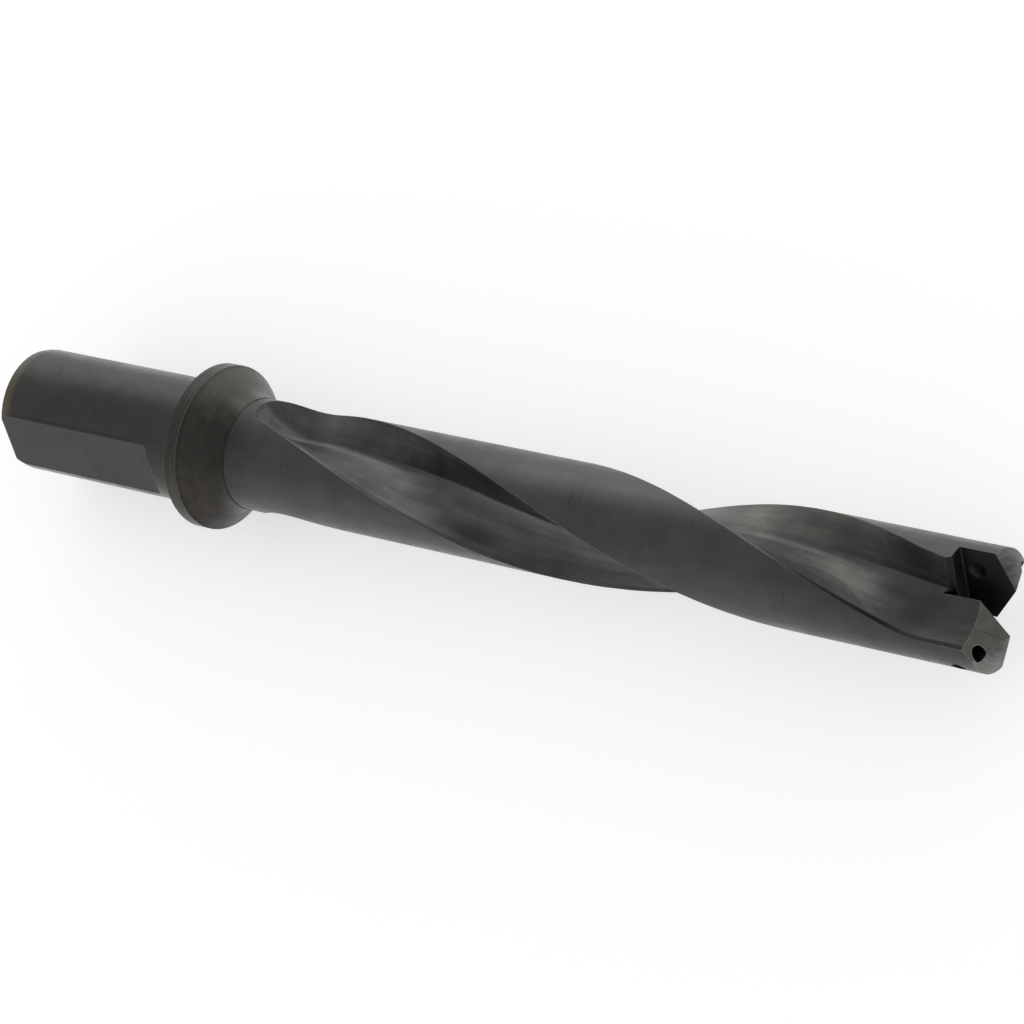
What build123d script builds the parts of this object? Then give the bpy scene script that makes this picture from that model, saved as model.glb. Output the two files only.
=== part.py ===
from build123d import *
import math
import os

# Holder of an indexable spade drill, in millimetres. The axis lies along X and
# the cutting end points to +X. X = 0 is the rear face of the flange, which stops
# against the spindle. The holder lies on its side, and Z is up.

# roll of the blade slot about the axis, from +Y towards +Z, in degrees
slot_roll = 53.1

# shank, its rounded lead and its flat, which ends in a slope
shank_radius = 16.0
shank_length = 60.0
lead_length = 3.4
lead_depth = 0.55
flat_depth = 2.0
flat_front_gap = 10.8
flat_end_angle = 45.0

# flange, from the rim forwards: rim, cone, round, and a small step to the body
rim_width = 4.0
rim_edge = 0.45
cone_angle = 45.0
cone_drop = 6.75
neck_round = 8.0
neck_step = 0.15

# fluted body; its length runs to the corner where the nose cone begins
body_radius = 14.3
body_length = 223.6
point_angle = 138.8

# helical flutes: the floor is an arc that rises from the web at a lean, and the
# wall is a nearly straight side at the height of half the web
flute_lead = 258.7
floor_foot = 4.85
floor_radius = 27.67
floor_lean = 36.2
corner_radius = 2.4
wall_height = 2.0
wall_slope = -0.127
rim_chamfer_depth = 0.9
rim_chamfer_lean = 22.0

# rear run-out of the flutes, which starts a little ahead of the flange
runout_gap = 2.6
runout_length = 19.5
runout_shift = 12.0
floor_lift = 2.6
floor_lift_length = 4.0

# front of the flutes: the helix ends and the section runs straight to the tip
straight_length = 6.3
helix_blend = 2.5
tip_wall_setback = 0.35
tip_wall_slope = -0.064

# blade slot, open at the tip and on both sides
slot_width = 5.46
slot_side_depth = 8.8
slot_corner_radius = 0.45

# pocket edge: each flute wall breaks down to the slot floor over a short slope,
# with a small run-out notch at its foot
pocket_edge_length = 1.25
pocket_edge_depth = 0.75
notch_length = 3.3
notch_depth = 1.6

# front relief of each leg, a plane that falls away across and along the slot
relief_setback = 4.05
relief_across = 0.684
relief_along = 0.261

# blade screws, one in each leg
screw_spacing = 16.4
screw_reach = 3.5
screw_core_radius = 1.7
screw_mouth_radius = 2.15

# coolant: rear inlet, central bore and one outlet in each leg
bore_radius = 2.5
inlet_radius = 5.9
inlet_depth = 16.0
inlet_chamfer = 1.2
outlet_radius = 1.8
outlet_inset = 2.5
outlet_angle = 105.6
outlet_length = 56.0

# sections of the flute loft, and how far the cutting solids run past the body
runout_steps = 8
helix_steps = 18
tip_steps = 20
overrun = 4.0

# the cone leads down from the flange's rim, and the neck round joins it to a step
# round the body; both ends of the round lie one tangent from the corner between
neck_radius = body_radius + neck_step
flange_radius = neck_radius + cone_drop
cone_slope = math.radians(cone_angle)
neck_tangent = neck_round * math.tan(cone_slope / 2)
cone_foot_x = rim_width + cone_drop / math.tan(cone_slope)
neck_start = Vector(cone_foot_x, neck_radius)
neck_start += Vector(-math.cos(cone_slope), math.sin(cone_slope)) * neck_tangent
neck_end_x = cone_foot_x + neck_tangent
nose_tip_x = body_length + body_radius / math.tan(math.radians(point_angle / 2))
slot_floor_x = body_length - slot_side_depth
helix_end_x = slot_floor_x - straight_length
flute_start_x = neck_end_x + runout_gap
tip_wall_height = slot_width / 2 - tip_wall_setback

# directions across the slot walls (the blade's width) and along their normal
roll = math.radians(slot_roll)
across = Vector(0, math.cos(roll), math.sin(roll))
along = Vector(0, -math.sin(roll), math.cos(roll))
both_sides = (0, 180)


def section_plane(x, turn=0.0):
    """Plane square to the axis at x, whose local X lies across the slot."""
    direction = across.rotate(Axis.X, turn)
    return Plane(origin=(x, 0, 0), x_dir=direction, z_dir=(1, 0, 0))


def side_plane(offset):
    """Plane square to the slot's width: local X is the axis, local Y is along."""
    return Plane(origin=across * offset, x_dir=(1, 0, 0), z_dir=-across)


def arc_controls(centre, radius, first, last):
    """Four control points of a circular arc from first to last."""
    a = math.atan2(first.Y - centre.Y, first.X - centre.X)
    b = math.atan2(last.Y - centre.Y, last.X - centre.X)
    sweep = (b - a + math.pi) % (2 * math.pi) - math.pi
    handle = 4 / 3 * math.tan(sweep / 4) * radius
    return [
        first,
        first + Vector(-math.sin(a), math.cos(a)) * handle,
        last - Vector(-math.sin(b), math.cos(b)) * handle,
        last,
    ]


def flute_section(shift=0.0, lift=0.0, height=wall_height, slope=wall_slope):
    """Flute outline: wall line end, corner round and floor arc.

    The floor arc starts at (floor_foot, wall_height) moved along by lift and
    rises at floor_lean. The wall is the straight line of the given slope that
    stands at height + shift there. A round of corner_radius joins the two.
    """
    lean = math.radians(floor_lean)
    centre = Vector(floor_foot + lift, wall_height)
    centre += Vector(math.cos(lean), math.sin(lean)) * floor_radius
    wall_direction = Vector(1, slope).normalized()
    wall_normal = Vector(-slope, 1).normalized()
    wall_point = Vector(floor_foot, height + shift)

    # the round's centre is corner_radius from the wall and from the floor arc
    reach = floor_radius - corner_radius
    raised = wall_point + wall_normal * corner_radius
    ahead = (centre - raised).dot(wall_direction)
    aside = (centre - raised).dot(wall_normal)
    middle = raised + wall_direction * (ahead - math.sqrt(reach**2 - aside**2))
    foot = middle - wall_normal * corner_radius
    start = middle + (middle - centre).normalized() * corner_radius

    # the floor arc ends where the rim chamfer of the land begins
    stop_v = max(body_radius - rim_chamfer_depth, start.Y + corner_radius / 3)
    stop_u = centre.X - math.sqrt(floor_radius**2 - (stop_v - centre.Y) ** 2)
    corner = arc_controls(middle, corner_radius, foot, start)
    floor = arc_controls(centre, floor_radius, start, Vector(stop_u, stop_v))
    far_u = flange_radius + overrun
    far = wall_point + wall_direction * ((far_u - floor_foot) / wall_direction.X)
    return far, corner, floor


def helix_left(x):
    """Length of helix ahead of x, fading out smoothly at helix_end_x."""
    left = helix_end_x - x
    if abs(left) < helix_blend:
        return (left + helix_blend) ** 2 / (4 * helix_blend)
    return max(left, 0.0)


# Sections of the flute from rear to front. In the run-out the wall closes over
# the floor, then the section turns steadily with the helix, and past its end the
# wall lines up with the slot.
sections = []
for i in range(runout_steps):
    gap = runout_length * (i / runout_steps) ** 1.5
    shift = runout_shift * (1 - gap / runout_length) ** 2.5
    lift = floor_lift * max(1 - gap / floor_lift_length, 0) ** 3
    sections.append((flute_start_x + gap, flute_section(shift, lift)))
helix_start_x = flute_start_x + runout_length
tip_start_x = helix_end_x - 2 * helix_blend
for i in range(helix_steps):
    x = helix_start_x + (tip_start_x - helix_start_x) * i / helix_steps
    sections.append((x, flute_section()))
for i in range(tip_steps + 1):
    x = tip_start_x + (nose_tip_x + overrun - tip_start_x) * i / tip_steps
    share = min(max((x - helix_end_x) / straight_length, 0.0), 1.0)
    share = share * share * (3 - 2 * share)
    height = wall_height + (tip_wall_height - wall_height) * share
    slope = wall_slope + (tip_wall_slope - wall_slope) * share
    sections.append((x, flute_section(height=height, slope=slope)))

with BuildPart() as flute_cutter:
    limit = flange_radius + overrun
    chamfer_length = 2 * rim_chamfer_depth / math.cos(math.radians(rim_chamfer_lean))
    for x, (far, corner, floor) in sections:
        with BuildSketch(section_plane(x, -360 * helix_left(x) / flute_lead)):
            with BuildLine():
                Line(far, corner[0])
                Bezier(*corner)
                Bezier(*floor)
                rim = PolarLine(floor[-1], chamfer_length, 90 + rim_chamfer_lean)
                Polyline(rim @ 1, ((rim @ 1).X, limit), (limit, limit), far)
            make_face()
    loft()

# Front relief: all that lies ahead of a sloping plane on one side of the slot.
relief_normal = Vector(1, 0, 0) + across * relief_across + along * relief_along
relief_point = Vector(nose_tip_x - relief_setback, 0, 0)
with BuildPart() as relief_cutter:
    with BuildSketch(Plane(origin=relief_point, x_dir=along, z_dir=relief_normal)):
        Rectangle(6 * body_radius, 6 * body_radius)
    extrude(amount=2 * body_radius)
    split(bisect_by=Plane(origin=(0, 0, 0), z_dir=along), keep=Keep.TOP)

# Pocket edge and notch: the slope starts where the wall leaves the corner round,
# and the notch reaches from there into the web.
wall_foot = flute_section(height=tip_wall_height, slope=tip_wall_slope)[1][0]
with BuildPart() as pocket_edge_cutter:
    ahead_x = slot_floor_x + slot_corner_radius
    edge_foot = wall_foot.Y - pocket_edge_depth
    with BuildSketch(side_plane(wall_foot.X)):
        with BuildLine():
            Polyline(
                (slot_floor_x - pocket_edge_length, slot_width),
                (slot_floor_x - pocket_edge_length, wall_foot.Y),
                (slot_floor_x, edge_foot),
                (ahead_x, edge_foot),
                (ahead_x, slot_width),
                close=True,
            )
        make_face()
    extrude(amount=body_radius, dir=across + along * tip_wall_slope)
    with BuildSketch(side_plane(wall_foot.X)):
        with BuildLine():
            Polyline(
                (slot_floor_x - notch_length, slot_width / 2),
                (slot_floor_x, edge_foot),
                (ahead_x, edge_foot),
                (ahead_x, slot_width / 2),
                close=True,
            )
        make_face()
    extrude(amount=wall_foot.X - floor_foot + notch_depth)

with BuildPart() as holder_body:
    # turned outline
    lead_round = (lead_length**2 + lead_depth**2) / (2 * lead_depth)
    lead_start = (-shank_length, shank_radius - lead_depth)
    lead_end = (-shank_length + lead_length, shank_radius)
    with BuildSketch(Plane.XY):
        with BuildLine():
            Line((-shank_length, 0), lead_start)
            RadiusArc(lead_start, lead_end, lead_round)
            Polyline(
                lead_end,
                (0, shank_radius),
                (0, flange_radius - rim_edge),
                (rim_edge, flange_radius),
                (rim_width, flange_radius),
                neck_start,
            )
            RadiusArc(neck_start, (neck_end_x, neck_radius), -neck_round)
            Polyline(
                (neck_end_x, neck_radius),
                (neck_end_x, body_radius),
                (body_length, body_radius),
                (nose_tip_x, 0),
                (-shank_length, 0),
            )
        make_face()
    revolve(axis=Axis.X)

    # shank flat, parallel to the slot walls, with its slope at the front end
    flat_height = shank_radius - flat_depth
    flat_run = 2 * flat_depth / math.tan(math.radians(flat_end_angle))
    with BuildSketch(side_plane(0)):
        with BuildLine():
            Polyline(
                (-shank_length, flat_height),
                (-flat_front_gap, flat_height),
                (-flat_front_gap + flat_run, flat_height + 2 * flat_depth),
                (-shank_length, flat_height + 2 * flat_depth),
                close=True,
            )
        make_face()
    extrude(amount=shank_radius, both=True, mode=Mode.SUBTRACT)

    # blade slot
    with BuildSketch(side_plane(0)):
        with Locations((slot_floor_x, 0)):
            slot_length = 2 * (nose_tip_x - slot_floor_x)
            RectangleRounded(
                slot_length,
                slot_width,
                slot_corner_radius,
                align=(Align.MIN, Align.CENTER),
            )
    extrude(amount=2 * body_radius, both=True, mode=Mode.SUBTRACT)

    # relief of each leg, and the pocket edges
    for turn in both_sides:
        add(relief_cutter.part, rotation=(turn, 0, 0), mode=Mode.SUBTRACT)
        add(pocket_edge_cutter.part, rotation=(turn, 0, 0), mode=Mode.SUBTRACT)

    # screw holes, from the slot wall out through each leg
    screw_x = slot_floor_x + screw_reach
    for side in (1, -1):
        mouth = Vector(screw_x, 0, 0)
        mouth += (across * screw_spacing / 2 - along * slot_width / 2) * side
        with Locations(Plane(origin=mouth, x_dir=(1, 0, 0), z_dir=along * side)):
            CounterSinkHole(screw_core_radius, screw_mouth_radius, depth=body_radius)

    # coolant inlet and central bore, from the rear end
    bore_end_x = body_length - outlet_length
    with Locations(Plane(origin=(-shank_length, 0, 0), z_dir=(-1, 0, 0))):
        Hole(bore_radius, depth=shank_length + bore_end_x + bore_radius)
        Hole(inlet_radius, depth=inlet_depth)
        CounterSinkHole(bore_radius, inlet_radius + inlet_chamfer, depth=inlet_depth)

    # coolant outlets, from the bore's front end out through each leg
    bore_end = Vector(bore_end_x, 0, 0)
    for turn in both_sides:
        mouth_direction = across.rotate(Axis.X, outlet_angle + turn)
        outlet = Vector(body_length, 0, 0) + mouth_direction * (body_radius - outlet_inset)
        with BuildSketch(Plane(origin=bore_end, z_dir=outlet - bore_end)):
            Circle(outlet_radius)
        extrude(amount=(outlet - bore_end).length + body_radius, mode=Mode.SUBTRACT)

    # helical flutes
    for turn in both_sides:
        add(flute_cutter.part, rotation=(turn, 0, 0), mode=Mode.SUBTRACT)

holder_body.part.label = "holder_body"
os.makedirs("parts", exist_ok=True)
export_step(holder_body.part, "parts/holder_body.step")
print("holder_body volume", round(holder_body.part.volume), "mm3")
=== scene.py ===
# %% [markdown]
# The object is the steel holder of a spade drill: a straight shank with one flat,
# a stop flange, and a long body with two flutes that wind round it up to an open
# slot for the blade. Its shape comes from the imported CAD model, which is loaded
# first. The model's node keeps its mesh, because its curves and edges are right;
# this file gives it the finish of blued tool steel, adds threads in its holes,
# and sets the studio. The tool's own sizes are in millimetres below and are
# turned into Blender's metres where a mesh or a node needs them. The camera, the
# floor and the lamp are placed in metres.

import math

import bpy
import numpy as np
from mathutils import Matrix, Vector


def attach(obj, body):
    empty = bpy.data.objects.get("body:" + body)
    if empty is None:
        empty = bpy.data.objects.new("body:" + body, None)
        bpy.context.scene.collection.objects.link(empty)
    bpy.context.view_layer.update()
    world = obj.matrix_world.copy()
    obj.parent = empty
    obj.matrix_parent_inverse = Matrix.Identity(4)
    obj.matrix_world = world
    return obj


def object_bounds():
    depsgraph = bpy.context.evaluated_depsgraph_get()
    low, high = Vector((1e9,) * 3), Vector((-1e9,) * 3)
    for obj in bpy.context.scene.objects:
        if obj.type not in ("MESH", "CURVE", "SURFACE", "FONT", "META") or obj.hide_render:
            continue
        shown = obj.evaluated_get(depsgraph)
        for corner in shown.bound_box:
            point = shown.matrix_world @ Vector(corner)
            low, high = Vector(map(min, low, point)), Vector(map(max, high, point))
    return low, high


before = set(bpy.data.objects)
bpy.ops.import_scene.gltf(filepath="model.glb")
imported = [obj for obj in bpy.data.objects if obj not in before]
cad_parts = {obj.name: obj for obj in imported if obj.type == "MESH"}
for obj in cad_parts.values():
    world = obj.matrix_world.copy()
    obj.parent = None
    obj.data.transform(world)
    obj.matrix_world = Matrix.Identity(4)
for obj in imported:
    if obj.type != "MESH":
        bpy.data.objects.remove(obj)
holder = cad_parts["holder_body"]
cad_low, cad_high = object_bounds()
mm = 0.001


def in_mm(corner):
    """A corner of a box in millimetres, rounded for printing."""
    return [round(c / mm, 1) for c in corner]


def put(name, data):
    """Puts a mesh, a lamp or a camera into the scene as an object."""
    made = bpy.data.objects.new(name, data)
    bpy.context.scene.collection.objects.link(made)
    return made


print("holder from", in_mm(cad_low), "to", in_mm(cad_high))

# %% [markdown]
# A few sizes of the real tool are needed again below, because the finish changes
# from place to place along the axis, and because the marks in the flutes follow
# the helix. The flutes make one turn in 258.7 mm and end where the straight part
# behind the blade slot begins. Two directions go with the slot: `across` lies in
# the plane of the blade, and `along` stands square to it. The relief plane of a
# leg falls away by 0.684 mm in each millimetre of the first and by 0.261 mm in
# each millimetre of the second.

# %% Sizes that the finish follows
shank_radius, shank_length, flat_height = 16.0, 60.0, 14.0
rim_width, flange_length = 4.0, 14.06
body_radius, body_length, point_angle = 14.3, 223.6, 138.8
flute_lead, helix_end_x = 258.7, 208.5
slot_roll, slot_width, slot_floor_x, pocket_edge_length = 53.1, 5.46, 214.8, 1.25
relief_x, relief_across, relief_along = 224.93, 0.684, 0.261
screw_x, screw_across, screw_mouth = 218.3, 8.2, 2.15
inlet_mouth = 7.1
roll = math.radians(slot_roll)
turn_per_mm = 2 * math.pi / flute_lead
across = Vector((0, math.cos(roll), math.sin(roll)))
along = Vector((0, -math.sin(roll), math.cos(roll)))
print("the flutes turn", round(math.degrees(turn_per_mm), 3), "degrees in each millimetre")

# %% [markdown]
# The camera stands where the photograph's camera stood: in front of the cutting
# end and well above it, with a long lens. Its place was worked out from the
# outline of the object. A camera looks along its own -Z axis with +Y up, so its
# matrix is made from the looking direction and the picture's upward direction.

# %% Camera
looking = Vector((-0.54896, 0.13501, -0.82487)).normalized()
sideways = looking.cross(Vector((-0.17414, 0.94674, 0.27084))).normalized()
upward = sideways.cross(looking)
lens = bpy.data.cameras.new("photo_camera")
lens.lens, lens.sensor_width = 123.05, 36
lens.clip_start, lens.clip_end = 0.01, 50
camera = put("photo_camera", lens)
turned = Matrix((sideways, upward, -looking)).transposed().to_4x4()
camera.matrix_world = Matrix.Translation((0.555494, -0.114868, 0.695381)) @ turned
bpy.context.scene.camera = camera
bpy.context.scene.view_settings.view_transform = "Standard"
print("camera stands", round(camera.location.length, 3), "m from the flange")

# %% [markdown]
# Finishes are made of nodes. Wiring them one by one takes many lines, so a few
# short helpers do it: `add` adds a node and wires its inputs, `field` gives one
# of its outputs, `calc`, `total` and `length` do sums with numbers or other
# nodes, `fade` turns a number into a soft mask from 0 to 1, and `mix` blends two
# colours by such a mask. What they give can be put into the next one, so that a
# finish reads like a formula.

# %% Helpers for nodes
work = {"tree": None}


def start_nodes(owner):
    """Empties the owner's node tree and makes it the one that the helpers fill."""
    owner.use_nodes = True
    work["tree"] = owner.node_tree
    owner.node_tree.nodes.clear()


def wire(socket, value):
    """Joins a node's output to the socket, or sets the socket to a plain value."""
    if isinstance(value, bpy.types.NodeSocket):
        work["tree"].links.new(value, socket)
    else:
        socket.default_value = value


def add(kind, inputs, **settings):
    """Adds a node of this kind. inputs is {name or number: value or socket}."""
    made = work["tree"].nodes.new("ShaderNode" + kind)
    for name, value in settings.items():
        setattr(made, name, value)
    for name, value in inputs.items():
        wire(made.inputs[name], value)
    return made


def field(kind, inputs, output=0, **settings):
    """Adds a node as add() does, and gives one of its outputs."""
    return add(kind, inputs, **settings).outputs[output]


def calc(operation, *values):
    """One sum, such as ADD, MULTIPLY, SINE or ARCTAN2, of numbers or sockets."""
    return field("Math", dict(enumerate(values)), operation=operation)


def total(*parts):
    """The sum of all parts, each of them a value and its share."""
    result = 0.0
    for value, share in parts:
        result = calc("MULTIPLY_ADD", value, share, result)
    return result


def fade(value, start, end, low=0.0, high=1.0):
    """low where the value is before start, high after end, and smooth between."""
    given = {"Value": value, "From Min": start, "From Max": end, "To Min": low, "To Max": high}
    return field("MapRange", given, interpolation_type="SMOOTHSTEP")


def mix(share, first, second):
    """The first colour where share is 0 and the second where it is 1."""
    return field("Mix", {0: share, 6: first, 7: second}, output=2, data_type="RGBA")


def vector(x, y, z):
    """Three numbers or sockets as one point."""
    return field("CombineXYZ", {0: x, 1: y, 2: z})


def length(x, y, z=0.0):
    """How long the step (x, y, z) is."""
    return field("VectorMath", {0: vector(x, y, z)}, output="Value", operation="LENGTH")


def noise(point, scale, detail=3.0, roughness=0.55):
    """Cloudy noise from 0 to 1. The point is in millimetres, and scale per millimetre."""
    given = {"Vector": point, "Scale": scale, "Detail": detail, "Roughness": roughness}
    return field("TexNoise", given)


# %% [markdown]
# The finish needs to know where it is on the tool. Object coordinates give x, y
# and z in metres. From them come the distance from the axis (`radius`), the angle
# round it (`angle`), the direction outwards (`out_y`, `out_z`), and the same point
# turned back by the flutes' helix (`flute_across`, `flute_along`). The angle jumps
# from +180 to -180 degrees, which would show as a seam, so patterns that go round
# the tool read the direction outwards. In the helix coordinates a streak that
# follows a flute stands still, so noise stretched along x becomes such a streak.

# %% Places on the tool
def places():
    """Sockets for the place in mm, the direction outwards and the helix coordinates."""
    here = field("TexCoord", {}, output="Object")
    point = field("VectorMath", {0: here, 1: (1 / mm, 1 / mm, 1 / mm)}, operation="MULTIPLY")
    x, y, z = add("SeparateXYZ", {0: point}).outputs
    radius = length(0.0, y, z)
    left = calc("MAXIMUM", calc("SUBTRACT", helix_end_x, x), 0.0)
    turn = calc("SUBTRACT", roll, calc("MULTIPLY", left, turn_per_mm))
    cosine, sine = calc("COSINE", turn), calc("SINE", turn)
    return {
        "x": x, "y": y, "point": point, "radius": radius,
        "angle": calc("ARCTAN2", z, y),
        "out_y": calc("DIVIDE", y, radius),
        "out_z": calc("DIVIDE", z, radius),
        "flute_across": total((y, cosine), (z, sine)),
        "flute_along": calc("SUBTRACT", calc("MULTIPLY", z, cosine), calc("MULTIPLY", y, sine)),
        "slot_along": field("VectorMath", {0: point, 1: along}, "Value", operation="DOT_PRODUCT"),
    }


# %% [markdown]
# Each zone of the tool was made in its own way, and a soft mask picks it out: the
# rounded lead at the rear, the ground shank, the turned flange, the ground lands
# of the body, the milled flutes between them, the small chamfer that guards each
# flute's long edge, the slot for the blade, and the ground nose with its relief
# facets. A mask is 1 inside its zone and 0 outside, and comes only from the place
# on the tool, so no piece of the mesh has to be marked by hand.

# %% Zones
def both(*masks):
    """1 where all of the masks are 1. A plain number among them is a strength."""
    result = masks[0]
    for more in masks[1:]:
        result = calc("MULTIPLY", result, more)
    return result


def most(*masks):
    """The strongest of the masks."""
    result = masks[0]
    for more in masks[1:]:
        result = calc("MAXIMUM", result, more)
    return result


def none_of(mask):
    """The opposite of a mask."""
    return calc("SUBTRACT", 1.0, mask)


def between(value, start, end, soft=0.05):
    """1 where the value lies from start to end, with soft borders."""
    return both(fade(value, start - soft, start + soft),
                fade(value, end - soft, end + soft, 1.0, 0.0))


def facet_distance(at):
    """How far a place lies from the relief plane of its own leg, in mm along x."""
    leg = calc("SIGN", at["flute_along"])
    slope = total((at["flute_across"], relief_across), (at["flute_along"], relief_along))
    return calc("ABSOLUTE", calc("MULTIPLY_ADD", leg, slope, calc("SUBTRACT", at["x"], relief_x)))


def zones(at):
    """Masks of the zones, from the sockets that places() gave."""
    half_slot = slot_width / 2
    edge_start = slot_floor_x - pocket_edge_length
    ahead_of_flange = fade(at["x"], flange_length, flange_length + 0.2)
    on_land = fade(at["radius"], body_radius - 0.09, body_radius - 0.03)
    from_web = calc("ABSOLUTE", at["flute_along"])
    in_slot = both(fade(at["x"], slot_floor_x - 0.1, slot_floor_x + 0.02),
                   fade(from_web, half_slot + 0.03, half_slot + 0.07, 1.0, 0.0))
    cone_rise = 1 / math.tan(math.radians(point_angle / 2))
    on_nose = total((at["radius"], cone_rise), (at["x"], 1.0))  # the same all over the nose
    nose = both(fade(on_nose, body_length + 4.9, body_length + 5.3), none_of(in_slot))
    facet = both(fade(facet_distance(at), 0.05, 0.12, 1.0, 0.0), none_of(in_slot))
    body = both(ahead_of_flange, none_of(nose), none_of(facet))
    flute = both(body, none_of(on_land), none_of(in_slot))
    # The screw holes and the rear bore join the slot's zone, so they are painted dark: painted
    # shade in the holes.
    from_screw = length(calc("SUBTRACT", calc("ABSOLUTE", at["flute_across"]), screw_across),
                        calc("SUBTRACT", at["x"], screw_x))
    hole = both(fade(from_screw, screw_mouth + 0.1, screw_mouth + 0.2, 1.0, 0.0), none_of(on_land))
    rear_bore = both(fade(at["radius"], inlet_mouth - 0.1, inlet_mouth + 0.3, 1.0, 0.0),
                     between(at["x"], 0.4 - shank_length, 0.0, 0.3))
    return {
        "lead": both(between(at["x"], 0.6 - shank_length, 3.1 - shank_length, 0.5),
                     fade(at["slot_along"], flat_height - 0.1, flat_height - 0.03, 1.0, 0.0),
                     fade(at["radius"], shank_radius - 1.8, shank_radius - 0.4)),
        "shank": fade(at["x"], -0.1, 0.1, 1.0, 0.0),
        "rim": between(at["x"], 0.05, rim_width, 0.04),
        "cone": both(fade(at["x"], rim_width, rim_width + 0.1), none_of(ahead_of_flange)),
        "land": both(body, on_land),
        "flute": flute,
        "chamfer": both(flute, fade(at["radius"], body_radius - 1.4, body_radius - 1.0),
                        fade(from_web, 5.5, 7.0)),
        "pocket_edge": both(flute, fade(at["x"], edge_start - 0.1, edge_start),
                            fade(from_web, half_slot - 0.13, half_slot + 0.07, 1.0, 0.0)),
        "slot": most(in_slot, hole, rear_bore),
        "nose": nose,
        "facet": facet,
    }


# %% [markdown]
# Cutting leaves marks that follow the tool's path. A lathe or a cylindrical
# grinder leaves rings, so their noise is stretched round the axis and is fine
# along it. The flute cutter leaves streaks that run with the helix, so their
# noise is stretched along x in the helix coordinates. Both are used three times:
# a little in the colour, more in the roughness, and as height for the bump.

# %% Cutting marks
def round_the_axis(at, fineness):
    """The direction outwards, as two numbers for a noise that goes round the tool."""
    return [calc("MULTIPLY", at[way], fineness) for way in ("out_y", "out_z")]


def turning_rings(at, fineness):
    """Rings round the axis: noise that is fine along x and outwards, and slow round it."""
    ahead = calc("MULTIPLY", total((at["radius"], -0.6), (at["x"], 1.0)), fineness)
    return noise(vector(ahead, *round_the_axis(at, 0.8)), 1.0, 4.0, 0.6)


def flute_streaks(at, fineness, streak_length):
    """Streaks along the helix: slow along x, fine across the flute's section."""
    over = calc("MULTIPLY", at["flute_across"], fineness)
    up = calc("MULTIPLY", at["flute_along"], fineness)
    return noise(vector(calc("DIVIDE", at["x"], streak_length), over, up), 1.0, 3.0, 0.5)


# %% [markdown]
# A used holder carries a few single marks. Chips that were caught between a land
# and the drilled hole left two patches of short scratches and one dark streak, and
# handling left two nicks on the shank and a bright dot near the flange. Each is an
# oval on the outside of the tool, placed by its distance along the axis and its
# angle round it. A dark patch lies on one flute's wall, so it is placed in the helix
# coordinates. Both flutes and both legs are alike, but such marks are not.

# %% Single marks
def steps_from(start, value, size):
    """How far the value is from start, counted in steps of that size."""
    return calc("DIVIDE", calc("SUBTRACT", value, start), size)


def oval(at, x, angle, long, wide):
    """1 inside an oval patch: long along the axis and wide round it, in mm."""
    ahead = steps_from(x, at["x"], long / 2)
    turned = steps_from(angle, at["angle"], wide / 2 / body_radius)
    return both(fade(length(ahead, turned), 0.35, 1.0, 1.0, 0.0),
                fade(at["radius"], body_radius - 0.1, body_radius))


def chip_scratches(at):
    """Patches of short dark scratches that chips left on the lands."""
    over, round_it = calc("MULTIPLY", at["x"], 2.4), calc("MULTIPLY", at["angle"], 1.6)
    strokes = fade(noise(vector(over, round_it, 0.0), 1.0, 2.0), 0.45, 0.62)
    patches = most(oval(at, 117.6, 1.33, 5.0, 9.0), oval(at, 149.9, 1.41, 4.0, 4.0))
    streak = both(oval(at, 176.7, 2.27, 1.1, 6.0), 0.7)
    return most(both(patches, strokes), streak)


def flute_dark_patch(at, x, over, up, long, wide):
    """1 in a soft egg-shaped patch on a flute's wall, at x and the helix coordinates."""
    distance = length(steps_from(x, at["x"], long / 2),
                      steps_from(over, at["flute_across"], wide / 2),
                      steps_from(up, at["flute_along"], wide / 2))
    return fade(distance, 0.1, 1.0, 1.0, 0.0)


# %% [markdown]
# The steel is blued all over, then handled and oiled, so its colour is nearly
# black with soft clouds. A plain metal shader fits: blued steel has no colour of
# its own below the surface, and what is seen is a dim reflection of the room. Each
# zone has a darker and a lighter tint, and its own clouds or marks choose between
# them. Single colours lie over them where something rubbed, dried or stuck, and
# others are painted light and shade: a painted sheen, painted highlights and
# painted shade.

# %% Tints of the steel
tints = {
    "body": ((0.063, 0.0625, 0.0608, 1), (0.081, 0.0802, 0.078, 1)),
    "shank": ((0.048, 0.0476, 0.0462, 1), (0.062, 0.0613, 0.0593, 1)),
    "flute": ((0.070, 0.0696, 0.068, 1), (0.108, 0.107, 0.104, 1)),
    "wiped flute": ((0.080, 0.0785, 0.0745, 1), (0.132, 0.129, 0.121, 1)),
    "rim": ((0.041, 0.0398, 0.037, 1), (0.064, 0.0605, 0.055, 1)),
    "cone": ((0.033, 0.0318, 0.0297, 1), (0.048, 0.0442, 0.039, 1)),
    "nose": ((0.026, 0.0253, 0.0231, 1), (0.068, 0.0655, 0.0603, 1)),
    "lighter nose": ((0.120, 0.117, 0.110, 1), (0.166, 0.162, 0.153, 1)),
    "facet": ((0.076, 0.074, 0.069, 1), (0.098, 0.092, 0.078, 1)),
}
tan_bloom = (0.080, 0.071, 0.063, 1)
land_painted_sheen = (0.105, 0.104, 0.100, 1)
dull_grey = (0.03, 0.03, 0.03, 1)
run_out_brown = (0.15, 0.138, 0.118, 1)
cone_painted_highlight = (0.107, 0.102, 0.092, 1)
low_side_painted_light = (0.065, 0.0565, 0.049, 1)
lead_tan = (0.098, 0.080, 0.056, 1)
dark_oxide_and_painted_shade = (0.016, 0.016, 0.0155, 1)
slot_oxide_and_hole_shade = (0.026, 0.026, 0.026, 1)
bare_steel = (0.215, 0.203, 0.182, 1)
print(len(tints), "zones have a dark and a light tint")
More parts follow.
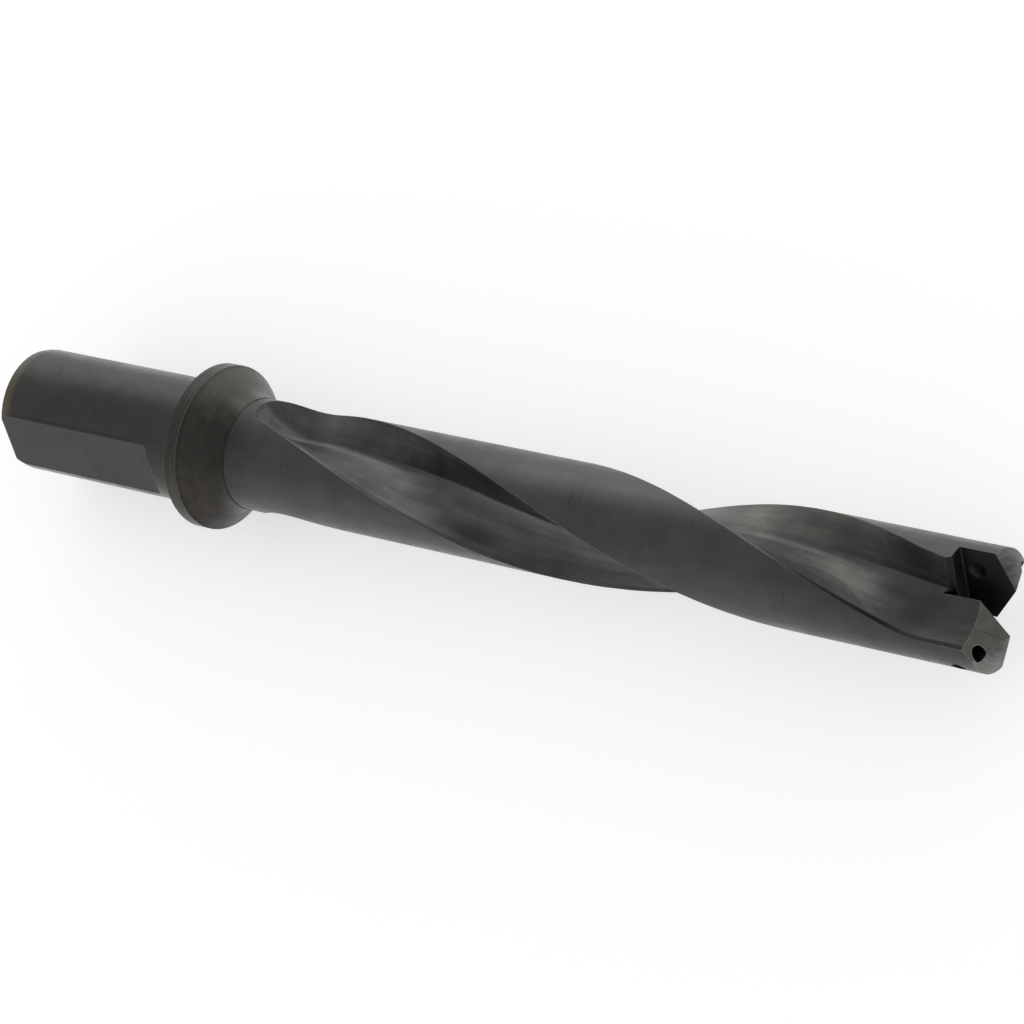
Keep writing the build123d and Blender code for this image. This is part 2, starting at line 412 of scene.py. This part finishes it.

# %% [markdown]
# The shank and the lands come first: clouds of oxide, a little of the grinding
# rings, smears along the tool from handling, and faint tan blooms where oil dried.
# Along its far, upper side the body is painted lighter, on its middle and near the front: a
# painted sheen.

# %% Colour of the shank and the lands
def skin_colour(at, zone, rings):
    """Clouded blue-black of the shank and the lands, with tan blooms and a painted sheen on the
    far side.
    """
    clouds = fade(noise(at["point"], 0.11, 4.0, 0.6), 0.32, 0.68)
    smears = vector(calc("MULTIPLY", at["x"], 0.07), *round_the_axis(at, 7.0))
    smears = fade(noise(smears, 1.0, 4.0, 0.6), 0.3, 0.7)
    patchy = total((clouds, 0.63), (rings, 0.12), (smears, 0.25))
    body, shank = mix(patchy, *tints["body"]), mix(patchy, *tints["shank"])
    blooms = fade(noise(at["point"], 0.10, 3.0), 0.50, 0.68, 0.0, 0.35)
    body = mix(both(blooms, fade(at["x"], 80.0, 150.0)), body, tan_bloom)
    # Painted sheen: the far, upper side of the body is painted lighter, as if lit there.
    lighter_part = most(between(at["x"], 92.0, 160.0, 14.0), fade(at["x"], 185.0, 200.0, 0.0, 0.55))
    lighter_part = both(lighter_part, fade(at["y"], 1.0, 6.0, 0.0, 0.64))
    return mix(zone["shank"], mix(lighter_part, body, land_painted_sheen), shank)


# %% [markdown]
# The flutes were milled, and then rubbed by the chips that ran out through them,
# so they are lighter, with streaks along the helix over broad clouds. The rubbing
# is strongest in the front half, and in one flute it ends at a curved border, a
# parabola in x. Where the cutter was lifted out near the flange, the end of the
# cut kept a brown patch.

# %% Colour of the flutes
def flute_colour(at, stains):
    """Streaked and wiped grey of the milled flutes."""
    marks = total((flute_streaks(at, 0.22, 22.0), 0.5), (flute_streaks(at, 0.8, 30.0), 0.2),
                  (noise(at["point"], 0.13, 3.0), 0.3))
    marks = fade(marks, 0.38, 0.62)
    wiped = both(fade(at["x"], 116.0, 156.0), fade(at["x"], 184.0, 208.0, 1.0, 0.0))
    colour = mix(wiped, mix(marks, *tints["flute"]), mix(marks, *tints["wiped flute"]))
    past_middle = calc("SUBTRACT", at["x"], 183.0)
    border = calc("MULTIPLY_ADD", calc("MULTIPLY", past_middle, past_middle), 0.027, 7.3)
    beyond = fade(calc("SUBTRACT", at["flute_along"], border), -0.2, 0.5, 0.0, 0.44)
    colour = mix(both(beyond, between(at["x"], 168.0, 200.0, 6.0)), colour, dull_grey)
    run_out = both(between(at["x"], 18.5, 25.0, 2.5), stains, 0.4)
    return mix(run_out, colour, run_out_brown)


# %% [markdown]
# The flange was left hotter in the bath, so its oxide is darker and brown, with
# turning rings round the cone. The far, upper side of the cone is painted lighter,
# a painted highlight, and the low side is painted lighter and browner, painted
# light with a brown tint. The rounded lead at the rear end was wiped to a tan.

# %% Colours of the flange and the lead
def flange_colour(at, zone, rings, stains, colour):
    """Lays the rim, the cone and the rear lead over the colour of the rest."""
    colour = mix(zone["rim"], colour, mix(rings, *tints["rim"]))
    brushed = total((stains, 0.65), (rings, 0.35))
    # Painted highlight: the far, upper side of the cone is painted lighter, as if lit from there.
    far_side = fade(total((brushed, 3.0), (at["y"], 1.0)), 3.0, 20.0, 0.0, 0.95)
    cone = mix(far_side, mix(brushed, *tints["cone"]), cone_painted_highlight)
    colour = mix(zone["cone"], colour, cone)
    # Painted light: the low side of the rim and the cone is painted lighter, with a brown tint.
    low_side = both(fade(at["y"], -8.0, -19.0), most(zone["rim"], both(zone["cone"], 0.6)),
                    fade(brushed, 0.2, 0.8, 0.3, 0.8))
    colour = mix(low_side, colour, low_side_painted_light)
    wiped = both(zone["lead"], fade(stains, 0.0, 1.0, 0.5, 0.9),
                 fade(at["y"], 3.0, 12.0, 1.0, 0.4))
    return mix(wiped, colour, lead_tan)


# %% [markdown]
# Some places are painted darker. Painted shade lies in the corners before the cone
# and at the neck, on the land just ahead of the flange, on the front part of the
# flutes' small chamfers and on the walls beside them, on the flutes' walls and
# near the slot, and on the slope behind the blade slot. A thin painted dark
# reflection lies along the back of the shank and near the front of the body. The
# land near the tip and a band beside the flat are darker, and so are the single
# marks. Each has its own strength, and the strongest wins.

# %% Dark marks and painted shade
def dark_marks_and_painted_shade(at, zone):
    """How much darkness is laid on the steel, from 0 to 1: painted shade and dark marks."""
    x, flute, land = at["x"], zone["flute"], zone["land"]
    from_web = calc("ABSOLUTE", at["flute_along"])
    wall_height = calc("ABSOLUTE", at["flute_across"])
    rim_corner = between(x, rim_width + 0.2, rim_width + 0.6, 0.25)
    neck_corner = both(between(x, flange_length - 0.45, flange_length + 0.15, 0.3),
                       fade(at["radius"], body_radius - 0.1, body_radius))
    by_flat = both(between(at["slot_along"], flat_height - 0.6, flat_height - 0.1, 0.2),
                   fade(at["radius"], shank_radius - 0.15, shank_radius - 0.05))
    # The band where a painted dark reflection lies along the back of the shank.
    back = both(fade(at["radius"], 13.9, 14.2), between(at["angle"], 0.56, 0.68, 0.09))
    dark = {
        # Painted shade: the corners before the cone and at the neck, and the land just ahead of
        # the flange.
        "flange corners": both(most(rim_corner, neck_corner), 0.35),
        "land at the flange": both(land, fade(x, flange_length, 24.0, 0.32, 0.0)),
        "land at the tip": both(land, fade(x, 165.0, 198.0, 0.0, 0.33),
                                fade(at["y"], 2.0, 8.0, 1.0, 0.0),
                                most(fade(at["y"], -14.0, -8.5), fade(x, 186.0, 198.0))),
        # Painted shade: the flutes' small chamfers and the flute beside them are darkened as the
        # chamfer's shade line.
        "chamfers": both(zone["chamfer"], fade(x, 105.0, 160.0, 0.3, 1.0),
                         fade(x, 200.0, 209.0, 1.0, 0.6)),
        "beside the chamfers": both(flute, fade(at["radius"], 10.8, 13.6),
                                    fade(from_web, 5.5, 7.0), fade(x, 110.0, 150.0, 0.0, 0.4),
                                    fade(x, 160.0, 185.0, 1.0, 0.3)),
        # Painted shade: the flutes' walls, where they face away from the light, and the flute near
        # the slot.
        "rear wall": both(flute, fade(wall_height, 4.6, 6.2), fade(x, 48.0, 80.0, 0.48, 0.0)),
        "front wall": both(flute, fade(wall_height, 4.2, 6.0), fade(x, 165.0, 185.0, 0.0, 0.34)),
        "near wall": both(flute, fade(at["flute_along"], -5.5, -10.0),
                          fade(x, 88.0, 118.0, 0.0, 0.33), fade(x, 130.0, 150.0, 1.0, 0.0)),
        "flute at the slot": both(flute, fade(x, 190.0, 203.0, 0.0, 0.40),
                                  fade(x, 209.0, 213.0, 1.0, 0.7)),
        # Painted shade on the slope behind the blade slot.
        "slope behind the slot": both(zone["pocket_edge"], 0.9),
        "beside the flat": both(by_flat, fade(x, -17.0, -13.0, 1.0, 0.0), 0.25),
        # A painted dark reflection: a thin dark band along the back of the shank and near the
        # front of the body.
        "painted dark reflection on the back": both(back, most(zone["shank"], fade(x, 165.0, 185.0)), 0.28),
        "chip scratches": both(chip_scratches(at), 0.45),
        "long nick": both(oval(at, -46.1, 0.957, 1.0, 1.6), 0.8),
        "short nick": both(oval(at, -45.4, 1.10, 1.2, 0.9), 0.5),
        "dark flute patch": both(flute_dark_patch(at, 86.6, -0.8, -10.2, 26.0, 8.5), 0.52),
    }
    return most(*dark.values())


# %% [markdown]
# The nose and its relief facets were ground last, so they are the lightest. The
# nose keeps coarse rings from the wheel and is lighter near its outer corner and
# on the low side of the near leg. The facet is a plain ground face, crossed by one
# fine painted line of shade where two passes of the wheel left a faint crease.

# %% Colours of the ground end
def ground_colour(at, zone, colour):
    """Lays the nose and the relief facets over the colour of the rest."""
    rings = fade(turning_rings(at, 1.1), 0.36, 0.64)
    # Lighter near the nose's outer corner and on the low side of the near leg.
    lighter_part = most(fade(at["y"], -7.5, -13.0), fade(at["radius"], 11.6, 13.4, 0.0, 0.5))
    nose = mix(lighter_part, mix(rings, *tints["nose"]), mix(rings, *tints["lighter nose"]))
    colour = mix(zone["nose"], colour, nose)
    over_facet = total((at["flute_across"], 0.612), (at["flute_along"], -0.790))
    over_facet = calc("MULTIPLY", calc("SIGN", at["flute_along"]), over_facet)
    # Painted shade: a fine dark line where two ground planes of the facet meet.
    crease_painted_shade = both(between(over_facet, -6.02, -5.80, 0.06), 0.6)
    cloudy = fade(noise(at["point"], 0.35, 3.0), 0.35, 0.65)
    facet = mix(crease_painted_shade, mix(cloudy, *tints["facet"]), dull_grey)
    return mix(zone["facet"], colour, facet)


# %% [markdown]
# The layers go on in the order in which a surface gets them: the oxide, the wear
# and dirt on it and the painted shade, the last grinding, the slot that no wheel
# touched later and that stays darkest, with painted shade in the screw holes and
# the rear bore, and at the very end the bright steel of rubbed edges.

# %% The layers together
def steel_colour(at, zone, worn):
    """Base colour of the whole holder."""
    rings = fade(turning_rings(at, 1.8), 0.30, 0.70)
    stains = fade(noise(at["point"], 0.22, 5.0, 0.65), 0.38, 0.66)
    colour = mix(zone["flute"], skin_colour(at, zone, rings), flute_colour(at, stains))
    colour = flange_colour(at, zone, rings, stains, colour)
    colour = mix(dark_marks_and_painted_shade(at, zone), colour, dark_oxide_and_painted_shade)
    colour = ground_colour(at, zone, colour)
    colour = mix(both(zone["slot"], 0.92), colour, slot_oxide_and_hole_shade)
    bright_dot = both(oval(at, 33.4, 1.90, 0.6, 0.6), 0.45)
    bright = most(both(worn, none_of(most(zone["slot"], zone["pocket_edge"]))), bright_dot)
    return mix(bright, colour, bare_steel)


# %% [markdown]
# A real edge is never sharp: it is broken with a stone and then wears bright. The
# Bevel node gives the normal that a small round at each edge would have. Used as
# the normal, it draws the thin highlight along the flutes' rims. Compared with
# the true normal it differs only near an edge, and that difference, broken up by
# noise, is the mask of worn steel. The corner at the neck and the rims near the
# tip show less of it.

# %% Worn edges
def edge_round(radius):
    """Normal of a round of that radius in mm along every edge."""
    return field("Bevel", {"Radius": radius * mm}, samples=6)


def worn_edges(at, rounded):
    """1 on rubbed edges: how far the rounded normal turns from the true one."""
    true = field("NewGeometry", {}, output="Normal")
    agree = field("VectorMath", {0: rounded, 1: true}, "Value", operation="DOT_PRODUCT")
    broken = fade(noise(at["point"], 0.25, 3.0), 0.35, 0.60, 0.55, 1.0)
    neck_corner = between(at["x"], flange_length - 0.6, flange_length + 0.5, 0.1)
    front_rims = both(between(at["x"], 175.0, 209.0, 8.0), fade(at["radius"], 12.0, 13.0), 0.7)
    turned_edge = fade(agree, 0.91, 0.992, 1.0, 0.0)
    return both(turned_edge, broken, none_of(neck_corner), none_of(front_rims))


# %% [markdown]
# Roughness follows the same zones: satin on the ground lands, a little shinier
# on the handled shank and in the flutes that the chips polished, and dull in the
# slot. The marks' heights are a few thousandths of a millimetre, which is enough
# to break up the reflections.

# %% Shine and fine height
def steel_roughness(at, zone, worn):
    """Roughness from the zone's own finish, its marks and the worn edges."""
    ground = fade(turning_rings(at, 2.6), 0.25, 0.75, 0.33, 0.40)
    ground = calc("MULTIPLY_ADD", zone["shank"], -0.06, ground)
    milled = fade(flute_streaks(at, 0.5, 22.0), 0.3, 0.7, 0.29, 0.36)
    value = calc("MULTIPLY_ADD", zone["flute"], calc("SUBTRACT", milled, ground), ground)
    patches = fade(noise(at["point"], 0.17, 3.0), 0.3, 0.7, -0.035, 0.045)
    return total((value, 1.0), (patches, 1.0), (zone["slot"], 0.15), (worn, -0.05))


def steel_normal(at, zone, rounded):
    """The rounded normal with the marks of turning and milling on it."""
    rings = both(turning_rings(at, 3.0), none_of(zone["flute"]), none_of(zone["facet"]))
    streaks = both(flute_streaks(at, 0.8, 20.0), zone["flute"])
    skin = noise(at["point"], 1.6, 3.0)
    height = total((rings, 1.0), (streaks, 0.5), (skin, 0.4), (chip_scratches(at), -0.6))
    height = calc("MULTIPLY", height, calc("MULTIPLY_ADD", zone["shank"], -0.8, 1.0))
    given = {"Strength": 0.6, "Distance": 0.010 * mm, "Height": height, "Normal": rounded}
    return field("Bump", given)


# %% [markdown]
# All of it comes together in one material, because the holder is one piece of
# steel: colour, roughness and normal go into one metal shader. Separate materials
# for the zones would leave hard borders where the real finish changes softly.

# %% The holder's finish
def blued_steel():
    """The finish of the whole holder, as one material."""
    made = bpy.data.materials.new("blued_steel")
    start_nodes(made)
    at = places()
    zone = zones(at)
    rounded = edge_round(0.28)
    worn = worn_edges(at, rounded)
    add("OutputMaterial", {0: field("BsdfPrincipled", {
        "Metallic": 1.0,
        "Base Color": steel_colour(at, zone, worn),
        "Roughness": steel_roughness(at, zone, worn),
        "Normal": steel_normal(at, zone, rounded),
    })})
    return made


steel = blued_steel()
holder.data.materials.clear()
holder.data.materials.append(steel)
print("blued steel has", len(steel.node_tree.nodes), "nodes")

# %% [markdown]
# The blade's two screws and the coolant plug turn into threads. The CAD model has
# plain holes of the tapping size, so each thread is added as a thin sleeve on the
# hole's wall. It could be cut with a boolean, but a sleeve is one clean surface:
# rows along the hole, columns round it, and a radius that is a wave of both. The
# wave moves on by one pitch in each turn, and that makes the helix.

# %% Threaded sleeves
behind_wall = 0.05


def thread_sleeve(name, start, inwards, depth_at, root_radius, ridge_height, pitch, rows, columns):
    """A closed sleeve with a right-hand thread on its inside, in mm.

    At angle t round the hole and distance s along it, the inner radius is
    root_radius less ridge_height times a ridge. The ridge is a clipped cosine of
    s / pitch - t / turn, so that its crests and roots are flat and it climbs one
    pitch in a turn, and it fades out over half a pitch at both ends. depth_at
    gives the sleeve's length at each place round the hole, so that it can end
    flush with a curved wall. The outside lies a little behind the hole's wall.
    """
    forward = Vector(inwards).normalized()
    side = forward.orthogonal().normalized()
    other = forward.cross(side)
    t = np.linspace(0, 2 * np.pi, columns, endpoint=False)[None, :]
    round_way = np.cos(t)[..., None] * np.array(side) + np.sin(t)[..., None] * np.array(other)
    length_here = depth_at(round_way[0] * root_radius)[None, :]
    s = np.linspace(0, 1, rows)[:, None] * length_here
    ridge = np.clip(0.5 + 0.8 * np.cos(2 * np.pi * (s / pitch - t / (2 * np.pi))), 0, 1)
    ridge *= np.clip(np.minimum(s, length_here - s) / (pitch / 2), 0, 1)
    s = np.vstack([s[:1], s, s[-1:]])
    outside = np.full_like(t, root_radius + behind_wall)
    radius = np.vstack([outside, root_radius - ridge_height * ridge, outside])
    points = np.array(start) + s[..., None] * np.array(forward) + radius[..., None] * round_way
    return closed_grid(name, points * mm)


def closed_grid(name, points):
    """Joins a grid of points, closed both ways, into a mesh whose faces point out."""
    high, wide = points.shape[:2]
    number = np.arange(high * wide).reshape(high, wide)
    up, right = np.roll(number, -1, 0), np.roll(number, -1, 1)
    quads = np.stack([number, right, np.roll(up, -1, 1), up], -1).reshape(-1, 4)
    flat = points.reshape(-1, 3)
    corners = flat[quads[:, :3]]
    if np.einsum("ij,ij->i", corners[:, 0], np.cross(corners[:, 1], corners[:, 2])).sum() < 0:
        quads = quads[:, ::-1]
    mesh = bpy.data.meshes.new(name)
    mesh.from_pydata(flat.tolist(), [], quads.tolist())
    mesh.polygons.foreach_set("use_smooth", np.ones(len(quads), bool))
    mesh.set_sharp_from_angle(angle=math.radians(50))
    mesh.materials.append(steel)
    piece = put(name, mesh)
    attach(piece, "root")
    print(name, "has", len(quads), "faces")
    return piece


# %% [markdown]
# The blade screws' holes start below a small countersink in the slot's wall and
# leave through the round outside of the other leg, so the sleeve's length there
# follows the body's circle. The inlet's thread starts below its chamfer at the
# rear end and stops before the bottom of the hole, as a tap leaves it.

# %% Threads in the holes
thread_start, land_gap = 3.3, 0.15
inlet_start_x, inlet_depth = -58.7, 11.0
for number, way in ((1, 1), (2, -1)):
    middle = Vector((screw_x, 0, 0)) + across * screw_across * way

    def to_the_land(offset, way=way):
        """The sleeve's length up to a little below the body's round outside."""
        aside = screw_across + offset @ np.array(across) * way
        return np.sqrt(body_radius**2 - aside**2) - thread_start - land_gap

    thread_sleeve(f"blade_screw_thread_{number}", middle - along * thread_start * way,
                  -along * way, to_the_land, root_radius=1.68, ridge_height=0.24, pitch=0.7,
                  rows=150, columns=48)
thread_sleeve("coolant_inlet_thread", (inlet_start_x, 0, 0), (1, 0, 0),
              lambda offset: np.full(len(offset), inlet_depth), root_radius=5.87,
              ridge_height=0.5, pitch=1.337, rows=130, columns=96)

# %% [markdown]
# The studio is a wide pale floor in a pale room. Steel is a mirror, however dull,
# so what stands round it makes its shading: the room is white at the height of
# the tool and greyer overhead, and that draws the light and dark bands along the
# shank and the body. The floor glows a little for the camera and in reflections,
# so that it looks white, and the rest of its brightness is light from the room,
# so that it still darkens under the tool.

# %% Floor and room
reach, level = 20.0, cad_low.z
floor_mesh = bpy.data.meshes.new("studio_floor")
floor_mesh.from_pydata([(-reach, -reach, level), (reach, -reach, level),
                        (reach, reach, level), (-reach, reach, level)], [], [(0, 1, 2, 3)])
floor = put("studio_floor", floor_mesh)


def pale_paper():
    """Diffuse paper, with a glow that keeps it near white where it is looked at."""
    made = bpy.data.materials.new("pale_paper")
    start_nodes(made)
    rays = add("LightPath", {}).outputs
    looks = most(*(rays[f"Is {kind} Ray"] for kind in ("Camera", "Glossy", "Transmission")))
    paper = field("BsdfDiffuse", {"Color": (0.66, 0.66, 0.66, 1)})
    glow = field("Emission", {"Color": (1, 1, 1, 1), "Strength": both(looks, 0.52)})
    add("OutputMaterial", {0: field("AddShader", {0: paper, 1: glow})})
    return made


floor_mesh.materials.append(pale_paper())

room = bpy.data.worlds.new("pale_room")
bpy.context.scene.world = room
start_nodes(room)
direction = add("SeparateXYZ", {0: field("TexCoord", {}, output="Generated")}).outputs
greyer_overhead = fade(direction["Z"], 0.15, 0.85, 1.0, 0.64)
add("OutputWorld", {0: field("Background", {"Color": (1, 1, 1, 1), "Strength": greyer_overhead})})
print("studio floor lies", round(-level / mm, 1), "mm below the tool's axis")


# %% [markdown]
# One soft box adds shape to the room's even light: a long one, low behind the
# tool, which draws the bright band along the back of the shank and the body and
# gives the floor's shadow its direction.

# %% The soft box
tool_middle = Vector((0.085, 0, 0))


def soft_box(name, azimuth, elevation, width, height, power, distance=1.2):
    """A lamp at that direction from the middle of the tool, facing it."""
    a, e = math.radians(azimuth), math.radians(elevation)
    out_there = Vector((math.cos(e) * math.cos(a), math.cos(e) * math.sin(a), math.sin(e)))
    lamp = bpy.data.lights.new(name, "AREA")
    lamp.shape, lamp.size, lamp.size_y, lamp.energy = "RECTANGLE", width, height, power
    stand = put(name, lamp)
    stand.location = tool_middle + out_there * distance
    stand.rotation_euler = out_there.to_track_quat("Z", "Y").to_euler()
    return stand


box = soft_box("back_soft_box", azimuth=122, elevation=12, width=1.4, height=0.7, power=1.6)
print(box.name, "stands", round(box.location.length, 2), "m from the flange")
